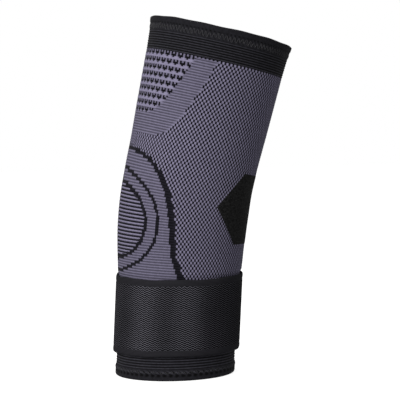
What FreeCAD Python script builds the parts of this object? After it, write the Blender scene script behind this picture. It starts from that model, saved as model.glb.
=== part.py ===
import FreeCAD, Part

# Knitted compression elbow sleeve with an elbow pad and a wrap-round forearm strap. Millimetres.
# The sleeve stands on its lower rim, which lies level on z = 0 with its centre at the origin. The
# elbow point faces -X and the crease of the elbow faces +X. The forearm tube leans a little
# towards +X over its level rim, and the upper-arm tube leans further about the elbow centre.
# Every piece is shaped about the forearm axis, upright, and then stood on its rim. Angles round
# a tube are counted from +X (the crease) towards +Y.

import math
import os

from FreeCAD import Placement, Rotation, Vector

# Overall
ELBOW_Z = 123.0          # lower rim's centre to the elbow centre, along the forearm axis
UPPER_LENGTH = 131.5     # elbow centre to the upper rim, along the upper-arm axis
FOREARM_LEAN = 3.8       # degrees that the forearm axis leans over the level rim
REST_BEND = 10.0         # degrees from the forearm axis to the upper-arm axis at rest
BEND_HALF = 30.0         # the axis curves over this length on each side of the elbow centre
BODY_GAP = 0.3           # clearance between pieces that move apart

# Knitted tube: outer radius at distances along the axis from the elbow centre
KNIT_WALL = 1.8
CUFF_HEIGHT = 24.0
KNIT_RADII = (
    (CUFF_HEIGHT - ELBOW_Z, 44.3),
    (-44.5, 44.5),
    (-42.0, 46.0),
    (-32.0, 46.5),
    (-18.0, 47.3),
    (0.0, 47.9),
    (20.0, 47.7),
    (42.0, 48.1),
    (65.0, 49.2),
    (UPPER_LENGTH - CUFF_HEIGHT, 50.8),
)
BEND_STEP = 10.0         # spacing of the tube's sections along the bend

# Where the tube divides: planes given as z = LEVEL - SLOPE * x, from the elbow centre
FOREARM_EDGE_LEVEL = -5.0
FOREARM_EDGE_SLOPE = 0.854
UPPER_EDGE_LEVEL = 43.0
UPPER_EDGE_SLOPE = 0.0625

# Dark hexagon of fine knit in the crease
PANEL_RISE = 5.0         # its middle, above the elbow centre
PANEL_HALF_HEIGHT = 29.0
PANEL_HALF_WIDTH = 28.0
PANEL_TIP_HALF_WIDTH = 41.8

# Cuffs
LOWER_CUFF_RADIUS = 43.8
LOWER_CUFF_BORE = 41.3
LOWER_HEM_BORE = 42.0    # the rolled hem is a little wider inside
LOWER_HEM_HEIGHT = 3.5
RIM_SPARE = 4.0          # the cuff is made this much too long, then cut level
UPPER_CUFF_RADIUS = 50.8
UPPER_RIM_RADIUS = 53.1
UPPER_CUFF_BORE = 48.4
UPPER_RIM_BORE = 50.2
UPPER_BORE_LENGTH = 18.0
GRIP_DEPTH = 0.6
GRIP_HEIGHT = 8.0
GRIP_START = 8.0         # from the rim to the silicone ring

# Pad and its pocket, ovals behind the elbow point (half width across, half height)
PAD_DROP = 8.0           # the oval's centre below the elbow centre
PAD_OVAL = (33.0, 25.0)
PAD_THICKNESS = 5.0
PAD_HOLE_RADIUS = 9.0
POCKET_CLEARANCE = 0.15
POCKET_CLOTH = 0.7
POCKET_FLANGE = 4.5

# Strap, wound once round the forearm tube and closed on the +Y side
STRAP_BOTTOM = 17.5      # both edges are level, so they are heights on the standing sleeve
STRAP_TOP = 75.0
STRAP_SPARE = 5.0        # the strap is made this much too tall at each edge, then cut level
STRAP_INNER = 44.8
STRAP_CLOTH = 1.8
TAIL_INNER = 48.3
TAIL_CLOTH = 1.5
STRAP_START = 70.0       # angle of the sewn end, and of the tail's first fold line
RAMP_ANGLE = 20.0        # the band climbs onto its second layer over this angle
TAIL_FOLD = 100.0        # angle of the tail's second fold line
STRAP_END = 140.0
END_CORNER = 9.0         # corner radius of the free end
FOLD_HALF_GAP = 0.15     # degrees, at each fold line

# Hook-and-loop closure
LOOP_RANGE = (94.0, 152.0)
LOOP_CLOTH = 0.6
LOOP_INSET = 2.0
HOOK_RANGE = (104.0, 136.5)
HOOK_CLOTH = 0.7
HOOK_INSET = 4.5
BINDING_ANGLE = 3.0
BINDING_CLOTH = 0.3

# Sewing thread
THREAD_RADIUS = 0.25
THREAD_LIFT = 0.28       # thread centre above the cloth
STITCH_PITCH = 3.2
STITCH_SHARE = 0.68      # share of the pitch that a stitch covers

# Blank care label inside the upper arm
LABEL_HALF_ANGLE = 11.0
LABEL_OUTER = 47.8
LABEL_CLOTH = 0.4
LABEL_RANGE = (81.0, 107.0)

BIG = 400.0              # half-space boxes reach past everything
ORIGIN = Vector(0, 0, 0)
UP = Vector(0, 0, 1)
TO_UPPER = Placement(Vector(0, 0, ELBOW_Z), Rotation(Vector(0, 1, 0), REST_BEND))
TO_STAND = Placement(ORIGIN, Rotation(Vector(0, 1, 0), FOREARM_LEAN))


# ---- helpers -------------------------------------------------------------------------------

def knit_radius(along):
    """Outer radius of the knitted tube at a distance along the axis from the elbow centre."""
    for (a, ra), (b, rb) in zip(KNIT_RADII, KNIT_RADII[1:]):
        if along <= b:
            return ra + (rb - ra) * (along - a) / (b - a)
    return KNIT_RADII[-1][1]


def axis_place(along):
    """Placement of the tube's cross-section at a distance along the bent axis."""
    if along >= BEND_HALF:
        tilt = REST_BEND
        lean = math.radians(tilt)
        centre = Vector(along * math.sin(lean), 0, ELBOW_Z + along * math.cos(lean))
    elif along <= -BEND_HALF:
        tilt = 0.0
        centre = Vector(0, 0, ELBOW_Z + along)
    else:
        tilt = REST_BEND * (along + BEND_HALF) / (2 * BEND_HALF)
        radius = BEND_HALF / math.tan(math.radians(REST_BEND / 2))
        lean = math.radians(tilt)
        centre = Vector(
            radius - radius * math.cos(lean), 0, ELBOW_Z - BEND_HALF + radius * math.sin(lean)
        )
    return Placement(centre, Rotation(Vector(0, 1, 0), tilt))


def stations(low, high):
    """Distances along the axis at which the tube has a cross-section, from low to high."""
    bend = [BEND_STEP * i for i in range(-3, 4)]
    inner = sorted(set([a for a, _ in KNIT_RADII] + bend))
    return [low] + [a for a in inner if low + 1 < a < high - 1] + [high]


def tube_core(inset, low, high):
    """Solid bent rod, inset from the knitted tube's outer surface."""
    sections = []
    for along in stations(low, high):
        ring = Part.Wire(Part.Circle(ORIGIN, UP, knit_radius(along) - inset).toShape())
        ring.Placement = axis_place(along)
        sections.append(ring)
    return Part.makeLoft(sections, True, True)


def tube_layer(outer_inset, inner_inset, low, high):
    """Layer of the tube's wall between two insets from its outer surface."""
    return tube_core(outer_inset, low, high).cut(tube_core(inner_inset, low, high))


def below_plane(level, slope):
    """Everything below the plane z = level - slope * x, from the elbow centre."""
    box = Part.makeBox(2 * BIG, 2 * BIG, BIG, Vector(-BIG, -BIG, -BIG))
    tilt = math.degrees(math.atan(slope))
    box.Placement = Placement(Vector(0, 0, ELBOW_Z + level), Rotation(Vector(0, 1, 0), tilt))
    return box


def turned_ring(points, start=0.0, sweep=360.0):
    """Solid of revolution about Z of an outline given as (radius, height) points."""
    corners = [Vector(r, 0, z) for r, z in points]
    face = Part.Face(Part.makePolygon(corners + corners[:1]))
    solid = face.revolve(ORIGIN, UP, sweep)
    solid.rotate(ORIGIN, UP, start)
    return solid


def arc_panel(inner, outer, low, high, start, end):
    """Curved panel between two radii, two heights and two angles."""
    outline = ((inner, low), (outer, low), (outer, high), (inner, high))
    return turned_ring(outline, start, end - start)


def oval_prism(half_width, half_height):
    """Oval bar along -X through the elbow point, centred on the pad."""
    centre = Vector(-5.0, 0, ELBOW_Z - PAD_DROP)
    side = centre + Vector(0, half_width, 0)
    top = centre + Vector(0, 0, half_height)
    wire = Part.Wire([Part.Ellipse(side, top, centre).toShape()])
    return Part.Face(wire).extrude(Vector(-80.0, 0, 0))


def on_cylinder(radius, angle, height):
    """Point at an angle and height on a cylinder about Z."""
    turn = math.radians(angle)
    return Vector(radius * math.cos(turn), radius * math.sin(turn), height)


def on_level(radius, angle, height):
    """Point on a cylinder about Z that comes to this height once the sleeve stands."""
    lean = math.radians(FOREARM_LEAN)
    point = on_cylinder(radius, angle, 0)
    point.z = (height + point.x * math.sin(lean)) / math.cos(lean)
    return point


def stood(shape):
    """Move a shape made about the upright forearm axis to where it is on the standing sleeve."""
    shape.Placement = TO_STAND.multiply(shape.Placement)
    return shape


def level_cut(shape, low, high):
    """Stand a shape and keep what lies between two heights."""
    slab = Part.makeBox(BIG, BIG, high - low, Vector(-BIG / 2, -BIG / 2, low))
    return stood(shape).common(slab)


def stitch(start, end):
    """One visible stitch of thread."""
    along = end - start
    return Part.makeCylinder(THREAD_RADIUS, along.Length, start, along)


def seam(route, length):
    """Row of stitches along route(t), t from 0 to 1, of about the given length."""
    count = max(2, round(length / STITCH_PITCH))
    half = STITCH_SHARE / 2 / count
    middles = [(i + 0.5) / count for i in range(count)]
    return [stitch(route(t - half), route(t + half)) for t in middles]


def straight_seam(radius, start, end):
    """Row of stitches between two (angle, height) places on the strap."""
    width = radius * math.radians(end[0] - start[0])
    length = math.hypot(width, end[1] - start[1])

    def route(t):
        angle = start[0] + (end[0] - start[0]) * t
        return on_level(radius, angle, start[1] + (end[1] - start[1]) * t)

    return seam(route, length)


def boxed_seam(radius, angles, heights):
    """Four rows of stitches round a rectangle on the strap, open at its corners."""
    step = math.degrees(1.0 / radius)
    (a, b), (low, high) = angles, heights
    rows = straight_seam(radius, (a + step, low), (b - step, low))
    rows += straight_seam(radius, (a + step, high), (b - step, high))
    rows += straight_seam(radius, (a, low + 1.0), (a, high - 1.0))
    rows += straight_seam(radius, (b, low + 1.0), (b, high - 1.0))
    return rows


def save(name, shape):
    """Write one sub-part."""
    shape.exportStep(f"parts/{name}.step")
    print(name, len(shape.Solids), round(shape.Volume), shape.isValid())


# ---- knitted tube ---------------------------------------------------------------------------

def knitted_pieces():
    """The tube as the forearm part, the elbow part, the crease panel and the upper-arm part."""
    tube = tube_layer(0, KNIT_WALL, KNIT_RADII[0][0], KNIT_RADII[-1][0])
    forearm_side = below_plane(FOREARM_EDGE_LEVEL, FOREARM_EDGE_SLOPE)
    forearm = tube.common(forearm_side)
    above = tube.cut(forearm_side)
    upper = above.cut(below_plane(UPPER_EDGE_LEVEL, UPPER_EDGE_SLOPE))
    elbow = above.common(below_plane(UPPER_EDGE_LEVEL - BODY_GAP, UPPER_EDGE_SLOPE))
    window = panel_prism()
    return {
        "forearm_knit": stood(forearm),
        "elbow_knit": stood(elbow.cut(window)),
        "crease_panel": stood(elbow.common(window)),
        "upper_arm_knit": stood(upper),
    }


def panel_prism():
    """Hexagonal bar along +X that cuts the crease panel out of the tube."""
    corners = (
        (PANEL_TIP_HALF_WIDTH, 0.0),
        (PANEL_HALF_WIDTH, PANEL_HALF_HEIGHT),
        (-PANEL_HALF_WIDTH, PANEL_HALF_HEIGHT),
        (-PANEL_TIP_HALF_WIDTH, 0.0),
        (-PANEL_HALF_WIDTH, -PANEL_HALF_HEIGHT),
        (PANEL_HALF_WIDTH, -PANEL_HALF_HEIGHT),
    )
    points = [Vector(5.0, y, ELBOW_Z + PANEL_RISE + z) for y, z in corners]
    return Part.Face(Part.makePolygon(points + points[:1])).extrude(Vector(80.0, 0, 0))


# ---- cuffs, grips and hems --------------------------------------------------------------------

def lower_cuff():
    """Ribbed cuff at the forearm end, with a groove for its silicone ring."""
    groove = LOWER_CUFF_BORE + GRIP_DEPTH
    outline = (
        (LOWER_HEM_BORE, -RIM_SPARE),
        (LOWER_CUFF_RADIUS, -RIM_SPARE),
        (LOWER_CUFF_RADIUS, CUFF_HEIGHT),
        (LOWER_CUFF_BORE, CUFF_HEIGHT),
        (LOWER_CUFF_BORE, GRIP_START + GRIP_HEIGHT),
        (groove, GRIP_START + GRIP_HEIGHT),
        (groove, GRIP_START),
        (LOWER_CUFF_BORE, GRIP_START),
        (LOWER_CUFF_BORE, LOWER_HEM_HEIGHT),
        (LOWER_HEM_BORE, LOWER_HEM_HEIGHT),
    )
    return level_cut(turned_ring(outline), 0, BIG)


def upper_cuff():
    """Ribbed cuff at the upper-arm end, flared at its rim, with a groove for its ring."""
    base = UPPER_LENGTH - CUFF_HEIGHT
    ring_end = UPPER_LENGTH - GRIP_START
    ring_start = ring_end - GRIP_HEIGHT
    groove = UPPER_CUFF_BORE + GRIP_DEPTH
    outline = (
        (UPPER_CUFF_BORE, base),
        (UPPER_CUFF_RADIUS, base),
        (UPPER_RIM_RADIUS, UPPER_LENGTH),
        (UPPER_RIM_BORE, UPPER_LENGTH),
        (UPPER_CUFF_BORE, base + UPPER_BORE_LENGTH),
        (UPPER_CUFF_BORE, ring_end),
        (groove, ring_end),
        (groove, ring_start),
        (UPPER_CUFF_BORE, ring_start),
    )
    return on_upper_arm(turned_ring(outline))


def on_upper_arm(shape):
    """Move a shape made about Z, with the elbow centre as its origin, onto the standing sleeve."""
    shape.Placement = TO_UPPER.multiply(shape.Placement)
    return stood(shape)


def grip_ring(bore, start):
    """Silicone ring that fills a cuff's groove, flush with its bore."""
    return arc_panel(bore, bore + GRIP_DEPTH, start, start + GRIP_HEIGHT, 0, 360)


def lower_hem_stitching():
    """Level row of stitches round the lower hem."""
    radius = LOWER_CUFF_RADIUS + THREAD_LIFT
    height = 5.5
    length = 2 * math.pi * radius
    return seam(lambda t: on_level(radius, 360 * t, height), length)


def upper_hem_stitching():
    """Short upright stitches round the upper hem."""
    low = UPPER_LENGTH - 9.0
    high = UPPER_LENGTH - 5.0
    count = round(2 * math.pi * UPPER_RIM_RADIUS / STITCH_PITCH)
    flare = (UPPER_RIM_RADIUS - UPPER_CUFF_RADIUS) / CUFF_HEIGHT
    rows = []
    for i in range(count):
        angle = 360.0 * i / count
        ends = []
        for height in (low, high):
            above = height - (UPPER_LENGTH - CUFF_HEIGHT)
            ends.append(on_cylinder(UPPER_CUFF_RADIUS + flare * above + THREAD_LIFT, angle, height))
        rows.append(stitch(*ends))
    return rows


# ---- pad, pocket and label ----------------------------------------------------------------------

def gel_pad():
    """Oval gel pad behind the elbow point, with a hole for the tip of the elbow."""
    inset = KNIT_WALL + POCKET_CLEARANCE
    layer = tube_layer(inset, inset + PAD_THICKNESS, -45.0, BEND_HALF)
    hole = oval_prism(PAD_HOLE_RADIUS, PAD_HOLE_RADIUS)
    return stood(layer.common(oval_prism(*PAD_OVAL)).cut(hole))


def pad_pocket():
    """Lining cup that holds the pad, with a flange that is sewn to the knit."""
    inset = KNIT_WALL + 0.05
    grow = POCKET_CLEARANCE
    depth = inset + PAD_THICKNESS + 3 * grow
    width, height = PAD_OVAL
    wall = grow + POCKET_CLOTH
    rim = wall + POCKET_FLANGE
    cup = tube_layer(inset, depth + POCKET_CLOTH, -48.0, BEND_HALF)
    cup = cup.common(oval_prism(width + wall, height + wall))
    flange = tube_layer(inset, inset + POCKET_CLOTH, -48.0, BEND_HALF)
    flange = flange.common(oval_prism(width + rim, height + rim))
    room = tube_layer(0.5, depth, -48.0, BEND_HALF)
    room = room.common(oval_prism(width + grow, height + grow))
    return stood(cup.fuse(flange).cut(room).removeSplitter())


def pocket_stitching():
    """Row of stitches round the pocket's flange."""
    middle = POCKET_CLEARANCE + POCKET_CLOTH + POCKET_FLANGE / 2 + 0.3
    width = PAD_OVAL[0] + middle
    height = PAD_OVAL[1] + middle
    inset = KNIT_WALL + 0.05 + POCKET_CLOTH + THREAD_LIFT

    def route(t):
        turn = 2 * math.pi * t
        across = width * math.cos(turn)
        along = height * math.sin(turn) - PAD_DROP
        place = axis_place(along)
        radius = knit_radius(along) - inset
        return place.multVec(Vector(-math.sqrt(radius * radius - across * across), across, 0))

    return seam(route, 2 * math.pi * math.sqrt((width**2 + height**2) / 2) * 1.1)


def care_label():
    """Blank label that hangs inside the upper arm from the cuff's seam."""
    low, high = LABEL_RANGE
    start = 90.0 - LABEL_HALF_ANGLE
    end = 90.0 + LABEL_HALF_ANGLE
    return on_upper_arm(arc_panel(LABEL_OUTER - LABEL_CLOTH, LABEL_OUTER, low, high, start, end))


# ---- strap ------------------------------------------------------------------------------------

def ramp_radius(layer_radius, tail_radius, share):
    """Radius partway up the ramp, level at both ends."""
    return layer_radius + (tail_radius - layer_radius) * share * share * (3 - 2 * share)


def strap_band():
    """Elastic band, one turn from its sewn end, that climbs over its own start."""
    ramp_start = STRAP_START + 360 - RAMP_ANGLE
    end = STRAP_START + 360 - FOLD_HALF_GAP
    low = STRAP_BOTTOM - STRAP_SPARE
    steps = 6
    curves = []
    ramps = (
        (STRAP_INNER, TAIL_INNER),
        (STRAP_INNER + STRAP_CLOTH, TAIL_INNER + TAIL_CLOTH),
    )
    for first, last in ramps:
        middle = (STRAP_START + ramp_start) / 2
        arc = Part.Arc(
            on_cylinder(first, STRAP_START, low),
            on_cylinder(first, middle, low),
            on_cylinder(first, ramp_start, low),
        )
        points = []
        for i in range(steps + 1):
            angle = ramp_start + (end - ramp_start) * i / steps
            points.append(on_cylinder(ramp_radius(first, last, i / steps), angle, low))
        ramp = Part.BSplineCurve()
        ramp.interpolate(points)
        curves.append((arc.toShape(), ramp.toShape(), points[-1]))
    sewn_end = Part.makeLine(
        on_cylinder(ramps[0][0], STRAP_START, low),
        on_cylinder(ramps[1][0], STRAP_START, low),
    )
    top_end = Part.makeLine(curves[0][2], curves[1][2])
    edges = [curves[0][0], curves[0][1], top_end, curves[1][1], curves[1][0], sewn_end]
    outline = Part.Wire(Part.__sortEdges__(edges))
    height = STRAP_TOP - STRAP_BOTTOM + 2 * STRAP_SPARE
    return level_cut(Part.Face(outline).extrude(Vector(0, 0, height)), STRAP_BOTTOM, STRAP_TOP)


def strap_layer(inner, cloth, inset, start, end):
    """Curved panel of the closure, with level edges inset from the strap's own."""
    low = STRAP_BOTTOM + inset
    high = STRAP_TOP - inset
    panel = arc_panel(inner, inner + cloth, low - STRAP_SPARE, high + STRAP_SPARE, start, end)
    return level_cut(panel, low, high)


def corner_waste(edge, inward):
    """What a round corner takes off the free end. The edge is a height and inward is 1 or -1."""
    corner_angle = STRAP_END - math.degrees(END_CORNER / TAIL_INNER)
    centre = on_level(TAIL_INNER, corner_angle, edge + inward * END_CORNER)
    reach = END_CORNER + STRAP_SPARE
    low, high = sorted((centre.z, centre.z - inward * reach))
    past = STRAP_END + 3
    block = arc_panel(TAIL_INNER - 5, TAIL_INNER + 5, low, high, corner_angle, past)
    out = on_cylinder(1.0, (corner_angle + STRAP_END) / 2, 0)
    rod = Part.makeCylinder(END_CORNER, 4 * END_CORNER, centre - out * 2 * END_CORNER, out)
    return stood(block.cut(rod))


def strap_tail():
    """First stretch of the free tail, over the sewn end."""
    start = STRAP_START + FOLD_HALF_GAP
    return strap_layer(TAIL_INNER, TAIL_CLOTH, 0, start, TAIL_FOLD - FOLD_HALF_GAP)


def strap_end():
    """Last stretch of the free tail, with round corners, that carries the hook patch."""
    panel = strap_layer(TAIL_INNER, TAIL_CLOTH, 0, TAIL_FOLD + FOLD_HALF_GAP, STRAP_END)
    return panel.cut(corner_waste(STRAP_BOTTOM, 1)).cut(corner_waste(STRAP_TOP, -1))


def end_binding():
    """Folded tape that covers the free end's straight cut edge."""
    start = STRAP_END - BINDING_ANGLE
    end = STRAP_END + math.degrees(BINDING_CLOTH / TAIL_INNER)
    inner = TAIL_INNER - BINDING_CLOTH
    inset = END_CORNER + 0.5
    tape = strap_layer(inner, TAIL_CLOTH + 2 * BINDING_CLOTH, inset, start, end)
    return tape.cut(strap_layer(TAIL_INNER, TAIL_CLOTH, inset - 1, start - 1, STRAP_END))


def loop_panel():
    """Soft loop panel on the band, that the hooks grip."""
    return strap_layer(STRAP_INNER + STRAP_CLOTH, LOOP_CLOTH, LOOP_INSET, *LOOP_RANGE)


def loop_panel_stitching():
    """Thin seam round the loop panel, outside the hook patch."""
    radius = STRAP_INNER + STRAP_CLOTH + LOOP_CLOTH + THREAD_LIFT
    edge = math.degrees(1.3 / radius)
    angles = (LOOP_RANGE[0] + edge, LOOP_RANGE[1] - edge)
    return boxed_seam(radius, angles, (STRAP_BOTTOM + 3.2, STRAP_TOP - 3.2))


def hook_patch():
    """Hook tape under the strap's free end."""
    return strap_layer(TAIL_INNER - HOOK_CLOTH, HOOK_CLOTH, HOOK_INSET, *HOOK_RANGE)


def hook_stitching():
    """Seam that holds the hook patch, seen on the strap's outer face."""
    radius = TAIL_INNER + TAIL_CLOTH + THREAD_LIFT
    low = STRAP_BOTTOM + HOOK_INSET + 1.5
    high = STRAP_TOP - HOOK_INSET - 1.5
    edge = math.degrees(1.5 / radius)
    return boxed_seam(radius, (HOOK_RANGE[0] + edge, HOOK_RANGE[1] - edge), (low, high))


def strap_anchor_stitching():
    """Crossed box of stitches that sews the strap's first end to the sleeve."""
    radius = STRAP_INNER + STRAP_CLOTH + THREAD_LIFT
    angles = (STRAP_START + 2.5, STRAP_START + 20.5)
    heights = (STRAP_BOTTOM + 6.0, STRAP_TOP - 6.0)
    rows = boxed_seam(radius, angles, heights)
    centre = (sum(angles) / 2, sum(heights) / 2)
    for angle in angles:
        for height in heights:
            near = [c + (v - c) * 0.12 for c, v in zip(centre, (angle, height))]
            far = [c + (v - c) * 0.88 for c, v in zip(centre, (angle, height))]
            rows += straight_seam(radius, near, far)
    return rows


# ---- write every sub-part -----------------------------------------------------------------------

def main():
    os.makedirs("parts", exist_ok=True)
    for name, shape in knitted_pieces().items():
        save(name, shape)
    upper_ring_start = UPPER_LENGTH - GRIP_START - GRIP_HEIGHT
    save("lower_cuff", lower_cuff())
    save("upper_cuff", upper_cuff())
    save("lower_grip_ring", stood(grip_ring(LOWER_CUFF_BORE, GRIP_START)))
    save("upper_grip_ring", on_upper_arm(grip_ring(UPPER_CUFF_BORE, upper_ring_start)))
    save("upper_hem_stitching", on_upper_arm(Part.makeCompound(upper_hem_stitching())))
    save("gel_pad", gel_pad())
    save("pad_pocket", pad_pocket())
    save("care_label", care_label())
    save("strap_band", strap_band())
    save("strap_tail", strap_tail())
    save("strap_end", strap_end())
    save("end_binding", end_binding())
    save("loop_panel", loop_panel())
    save("hook_patch", hook_patch())
    seams = {
        "lower_hem_stitching": lower_hem_stitching(),
        "pocket_stitching": pocket_stitching(),
        "loop_panel_stitching": loop_panel_stitching(),
        "hook_stitching": hook_stitching(),
        "strap_anchor_stitching": strap_anchor_stitching(),
    }
    for name, stitches in seams.items():
        save(name, stood(Part.makeCompound(stitches)))


main()
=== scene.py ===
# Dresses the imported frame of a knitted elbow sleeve: the two-colour knit, ribbed cuffs, the woven
# wrap strap, and the lining and pad inside. Lengths are in millimetres until a mesh is made.
# The sleeve's axis is followed by a distance s from the elbow centre, up the arm, and angles go
# round it from the crease (+X) towards +Y. The elbow point is at 180 degrees.

import math

import bpy
import numpy as np
from mathutils import Matrix, Quaternion, Vector


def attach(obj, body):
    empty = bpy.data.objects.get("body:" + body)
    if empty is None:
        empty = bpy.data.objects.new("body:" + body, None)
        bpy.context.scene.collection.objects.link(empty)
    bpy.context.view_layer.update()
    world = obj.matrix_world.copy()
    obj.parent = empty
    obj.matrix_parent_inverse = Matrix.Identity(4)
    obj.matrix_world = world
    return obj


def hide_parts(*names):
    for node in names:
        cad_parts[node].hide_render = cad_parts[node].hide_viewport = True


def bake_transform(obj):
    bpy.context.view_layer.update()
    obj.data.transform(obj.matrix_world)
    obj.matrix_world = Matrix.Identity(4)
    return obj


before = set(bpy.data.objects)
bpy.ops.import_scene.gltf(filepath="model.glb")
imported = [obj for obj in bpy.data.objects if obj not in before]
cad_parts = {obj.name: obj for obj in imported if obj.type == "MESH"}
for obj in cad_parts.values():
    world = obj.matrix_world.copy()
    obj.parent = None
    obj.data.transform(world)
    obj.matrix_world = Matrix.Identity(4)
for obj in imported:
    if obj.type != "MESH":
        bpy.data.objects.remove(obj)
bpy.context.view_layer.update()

# ---- dimensions, the same as the frame's ----
MM = 0.001
ELBOW = 123.0             # lower rim's centre to the elbow centre
UPPER_END = 131.5         # elbow centre to the upper rim
CUFF = 24.0
LEAN = math.radians(3.8)
BEND = math.radians(10.0)
BEND_HALF = 30.0
KNIT_WALL = 1.8
KNIT_TOP = UPPER_END - CUFF
KNIT_BOTTOM = CUFF - ELBOW
FLEX_FROM = -44.0         # the sleeve would bend with the elbow between these distances; nothing here bends it
FLEX_TO = 92.0

# The knit's outer radius at distances s, before the strap draws it in
RADIUS_AT = (-99.0, -46.0, -42.0, -32.0, -18.0, 0.0, 20.0, 42.0, 65.0, 107.5)
RADII = (45.2, 45.5, 46.0, 46.6, 47.4, 47.9, 47.7, 48.1, 49.2, 50.8)

STRAP_LOW = 17.5
STRAP_HIGH = 75.0
STRAP_DIP = 2.6           # the strap's top edge dips this much on the -Y side
STRAP_DIP_AT = math.radians(285.0)
STRAP_INNER = 44.8
STRAP_CLOTH = 1.8
TAIL_INNER = 48.3
TAIL_CLOTH = 1.5
FOLD = 430.0              # the strap winds from 70 degrees once round to its fold
RAMP = 20.0
TAIL_FOLD = 460.0
STRAP_END = 500.0
END_CORNER = 9.0
STRAP_START = FOLD - 360 + 0.15  # the strap's four stretches start at these angles
ROOT_START = FOLD - 12
TIP_START = FOLD + 15
FLAP_START = TAIL_FOLD + 12
TAIL_MIDDLE = -77.5       # distance s of the middle of the tail

# ---- strap weave ----
ZIGZAG = 3.9              # length of one zigzag
ZIGZAG_RISE = 1.25        # how far each zigzag climbs
THREAD_ROW = 1.55         # height of one row of zigzags
STRAP_ROUND = 46.6        # radius at which lengths along the strap are counted
SHEEN_BAND = 36.0            # painted sheen: the threads brighten and dim over this length of strap
SHEEN_BAND_START = 175.6
SHEEN_LENGTH = 154.0      # and, more slowly, over this one
SHEEN_START = 128.0
WEAVE_FROM = 4.2          # the weave starts this far in from the strap's edges
BORDER_TO = 5.2           # and the smooth selvedge's look ends here
EDGE_BLEND = 0.9
EDGE_ROWS = np.array((0, 0.12, 0.4, 0.9, 1.6, 2.6, 3.6))[:, None]
STRAP_ROWS = 170          # mesh rows from the last edge row on one side to that on the other

# ---- knit ----
WALES = 220               # stitches round the tube
COURSE = 1.9              # height of one row of stitches
STEPS = 4                 # mesh rows in one course
SUB = COURSE / STEPS
DETAIL_COURSES = 86       # courses with stitch detail
DETAIL_BOTTOM = KNIT_TOP - DETAIL_COURSES * COURSE
ARC = 0.829               # millimetres per degree round the elbow
LINE_YARN = 0.97          # the drawn lines let a little lilac through
RIDGE = 0.22              # height of a course's ridge
GRIPPED = 44.45           # the knit's outer radius under the strap

# Shapes in the knit: middle along the axis, half width and half height, and squareness
ARCH = (-80.0, (84.5 * ARC, 114.5), 3.7)
OUTER_OVAL = (-13.5, (69 * ARC, 35.0), 2.2)
INNER_OVAL = (-13.3, (57 * ARC, 25.8), 2.3)
ARCH_LINE = 1.9           # half widths of their lines
OUTER_LINE = 1.15
INNER_LINE = 1.3
LEGS_BELOW = -34          # the arch's legs spread below here
LEG_SPREAD = 0.42

# Yarn of the inner oval's stripes and height of a course, by mesh row; a course's height also sets its
# painted shade
STRIPES = np.array((1.0, 1.0, 0.58, 0.0, 0.0))
COURSE_ROWS = np.array((0.2, 0.9, 0.9, 0.2))

# One honeycomb mark, from the top down, and the plain stitches round it
MOTIF = (
    "#.#.",
    "#.#.",
    "#.#.",
    "###.",
    "###.",
    "###.",
    ".#..",
    ".#..",
    "....",
    "....",
    "....",
)


# ---- places ----

def axis_place(s):
    """Centre x, centre z and tilt of the sleeve's axis at distances s."""
    s = np.asarray(s, float)
    curve = BEND_HALF / math.tan(BEND / 2)
    turn = np.clip((s + BEND_HALF) / (2 * BEND_HALF), 0, 1) * BEND
    x = np.where(s > BEND_HALF, s * math.sin(BEND), curve * (1 - np.cos(turn)))
    bent = curve * np.sin(turn) - BEND_HALF
    z = np.where(s > BEND_HALF, s * math.cos(BEND), np.where(s < -BEND_HALF, s, bent)) + ELBOW
    lean_x = x * math.cos(LEAN) + z * math.sin(LEAN)
    lean_z = z * math.cos(LEAN) - x * math.sin(LEAN)
    return lean_x, lean_z, turn + LEAN


def on_tube(s, angle, radius):
    """Points at distances s along the axis, angles in radians and radii. All broadcast."""
    s, angle, radius = np.broadcast_arrays(s, angle, radius)
    x, z, tilt = axis_place(s)
    out = radius * np.cos(angle)
    place = (x + out * np.cos(tilt), radius * np.sin(angle), z - out * np.sin(tilt))
    return np.stack(place, -1)


def level(height, angle, radius):
    """Distance s at which a point of the forearm tube is at this height above the table."""
    return (height + radius * np.cos(angle) * math.sin(LEAN)) / math.cos(LEAN) - ELBOW


def metres(point):
    """Point in metres, as plain numbers."""
    return tuple(float(value) * MM for value in point)


def smooth(value):
    """Eased step from 0 to 1."""
    value = np.clip(value, 0, 1)
    return value * value * (3 - 2 * value)


def strap_top(angle):
    """Height of the strap's top edge."""
    dip = 0.5 + 0.5 * np.cos(angle - STRAP_DIP_AT)
    return STRAP_HIGH - STRAP_DIP * dip


def knit_radius(s, angle):
    """Outer radius of the knit, drawn in where the strap grips it."""
    spread = np.linspace(-5, 5, 11)
    base = sum(np.interp(s + step, RADIUS_AT, RADII) for step in spread) / len(spread)
    above = s - level(strap_top(angle), angle, STRAP_INNER)
    return GRIPPED + (base - GRIPPED) * smooth((above + 1.0) / 4.5)


# ---- meshes ----

def new_object(name, data):
    """Object with this data, put in the scene."""
    obj = bpy.data.objects.new(name, data)
    bpy.context.scene.collection.objects.link(obj)
    return obj


def grid_faces(rows, columns, ring, loop, caps):
    """Faces over a grid: all their corners in one line, where each face starts, and the row and
    column of each four-sided one."""
    row = np.arange(rows if loop else rows - 1)
    column = np.arange(columns if ring else columns - 1)
    r0, c0 = np.meshgrid(row, column, indexing="ij")
    r1 = (r0 + 1) % rows
    c1 = (c0 + 1) % columns
    quads = np.stack((r0 * columns + c0, r0 * columns + c1, r1 * columns + c1, r1 * columns + c0), -1)
    corners = quads.ravel()
    starts = np.arange(0, quads.size, 4)
    if caps:
        if ring:
            first = np.arange(columns)[::-1]
            last = (rows - 1) * columns + np.arange(columns)
        else:
            first = np.arange(rows) * columns
            last = first[::-1] + columns - 1
        starts = np.concatenate((starts, [quads.size, quads.size + len(first)]))
        corners = np.concatenate((corners, first, last))
    return corners, starts, r0, c0


def padded(values, length):
    """Values in one line, followed by zeros for the caps."""
    flat = np.asarray(values, float).ravel()
    return np.concatenate((flat, np.zeros(length - len(flat))))


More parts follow.
